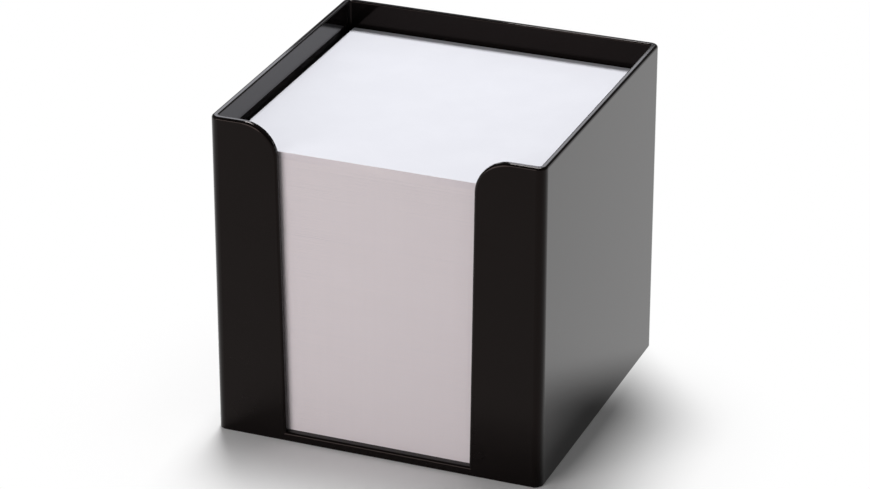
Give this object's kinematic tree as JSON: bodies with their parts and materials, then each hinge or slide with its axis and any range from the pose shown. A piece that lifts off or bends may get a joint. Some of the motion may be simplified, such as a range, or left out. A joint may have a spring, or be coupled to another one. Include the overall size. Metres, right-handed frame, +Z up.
{
  "type": "memo box",
  "caption": "Open-topped cubic desk box with a full-height finger slot in its front wall, holding a block of loose square note sheets.",
  "frame": {"origin": "middle of the underside, on the surface the box stands on", "axes": "+X to the right as seen from the front, +Y to the back, +Z up; the finger slot faces -Y"},
  "size_m": [0.0962, 0.0948, 0.0947],
  "materials": {
    "black_plastic": "polished black injection moulding, mirror-like inside, slightly softer gloss outside",
    "note_paper": "uncoated white writing paper, cut edges slightly warmer and darker"
  },
  "bodies": {
    "holder": {"holder": "black_plastic"},
    "paper_stack": {"paper_stack": "note_paper"},
    "note_sheet_01": {"note_sheet_01": "note_paper"},
    "note_sheet_02": {"note_sheet_02": "note_paper"},
    "note_sheet_03": {"note_sheet_03": "note_paper"},
    "note_sheet_04": {"note_sheet_04": "note_paper"},
    "note_sheet_05": {"note_sheet_05": "note_paper"},
    "note_sheet_06": {"note_sheet_06": "note_paper"},
    "note_sheet_07": {"note_sheet_07": "note_paper"},
    "note_sheet_08": {"note_sheet_08": "note_paper"},
    "note_sheet_09": {"note_sheet_09": "note_paper"},
    "note_sheet_10": {"note_sheet_10": "note_paper"},
    "note_sheet_11": {"note_sheet_11": "note_paper"},
    "note_sheet_12": {"note_sheet_12": "note_paper"},
    "note_sheet_13": {"note_sheet_13": "note_paper"},
    "note_sheet_14": {"note_sheet_14": "note_paper"},
    "note_sheet_15": {"note_sheet_15": "note_paper"},
    "note_sheet_16": {"note_sheet_16": "note_paper"},
    "note_sheet_17": {"note_sheet_17": "note_paper"},
    "note_sheet_18": {"note_sheet_18": "note_paper"},
    "note_sheet_19": {"note_sheet_19": "note_paper"},
    "note_sheet_20": {"note_sheet_20": "note_paper"}
  },
  "joints": [
    {"name": "stack_lift", "type": "slide", "parent": "holder", "child": "paper_stack", "axis": [0, 0, 1], "range_m": [0, 0.1]},
    {"name": "sheet_01_lift", "type": "slide", "parent": "paper_stack", "child": "note_sheet_01", "axis": [0, 0, 1], "range_m": [0, 0.012]},
    {"name": "sheet_02_lift", "type": "slide", "parent": "note_sheet_01", "child": "note_sheet_02", "axis": [0, 0, 1], "range_m": [0, 0.012]},
    {"name": "sheet_03_lift", "type": "slide", "parent": "note_sheet_02", "child": "note_sheet_03", "axis": [0, 0, 1], "range_m": [0, 0.012]},
    {"name": "sheet_04_lift", "type": "slide", "parent": "note_sheet_03", "child": "note_sheet_04", "axis": [0, 0, 1], "range_m": [0, 0.012]},
    {"name": "sheet_05_lift", "type": "slide", "parent": "note_sheet_04", "child": "note_sheet_05", "axis": [0, 0, 1], "range_m": [0, 0.012]},
    {"name": "sheet_06_lift", "type": "slide", "parent": "note_sheet_05", "child": "note_sheet_06", "axis": [0, 0, 1], "range_m": [0, 0.012]},
    {"name": "sheet_07_lift", "type": "slide", "parent": "note_sheet_06", "child": "note_sheet_07", "axis": [0, 0, 1], "range_m": [0, 0.012]},
    {"name": "sheet_08_lift", "type": "slide", "parent": "note_sheet_07", "child": "note_sheet_08", "axis": [0, 0, 1], "range_m": [0, 0.012]},
    {"name": "sheet_09_lift", "type": "slide", "parent": "note_sheet_08", "child": "note_sheet_09", "axis": [0, 0, 1], "range_m": [0, 0.012]},
    {"name": "sheet_10_lift", "type": "slide", "parent": "note_sheet_09", "child": "note_sheet_10", "axis": [0, 0, 1], "range_m": [0, 0.012]},
    {"name": "sheet_11_lift", "type": "slide", "parent": "note_sheet_10", "child": "note_sheet_11", "axis": [0, 0, 1], "range_m": [0, 0.012]},
    {"name": "sheet_12_lift", "type": "slide", "parent": "note_sheet_11", "child": "note_sheet_12", "axis": [0, 0, 1], "range_m": [0, 0.012]},
    {"name": "sheet_13_lift", "type": "slide", "parent": "note_sheet_12", "child": "note_sheet_13", "axis": [0, 0, 1], "range_m": [0, 0.012]},
    {"name": "sheet_14_lift", "type": "slide", "parent": "note_sheet_13", "child": "note_sheet_14", "axis": [0, 0, 1], "range_m": [0, 0.012]},
    {"name": "sheet_15_lift", "type": "slide", "parent": "note_sheet_14", "child": "note_sheet_15", "axis": [0, 0, 1], "range_m": [0, 0.012]},
    {"name": "sheet_16_lift", "type": "slide", "parent": "note_sheet_15", "child": "note_sheet_16", "axis": [0, 0, 1], "range_m": [0, 0.012]},
    {"name": "sheet_17_lift", "type": "slide", "parent": "note_sheet_16", "child": "note_sheet_17", "axis": [0, 0, 1], "range_m": [0, 0.012]},
    {"name": "sheet_18_lift", "type": "slide", "parent": "note_sheet_17", "child": "note_sheet_18", "axis": [0, 0, 1], "range_m": [0, 0.012]},
    {"name": "sheet_19_lift", "type": "slide", "parent": "note_sheet_18", "child": "note_sheet_19", "axis": [0, 0, 1], "range_m": [0, 0.012]},
    {"name": "sheet_20_lift", "type": "slide", "parent": "note_sheet_19", "child": "note_sheet_20", "axis": [0, 0, 1], "range_m": [0, 0.012]}
  ]
}
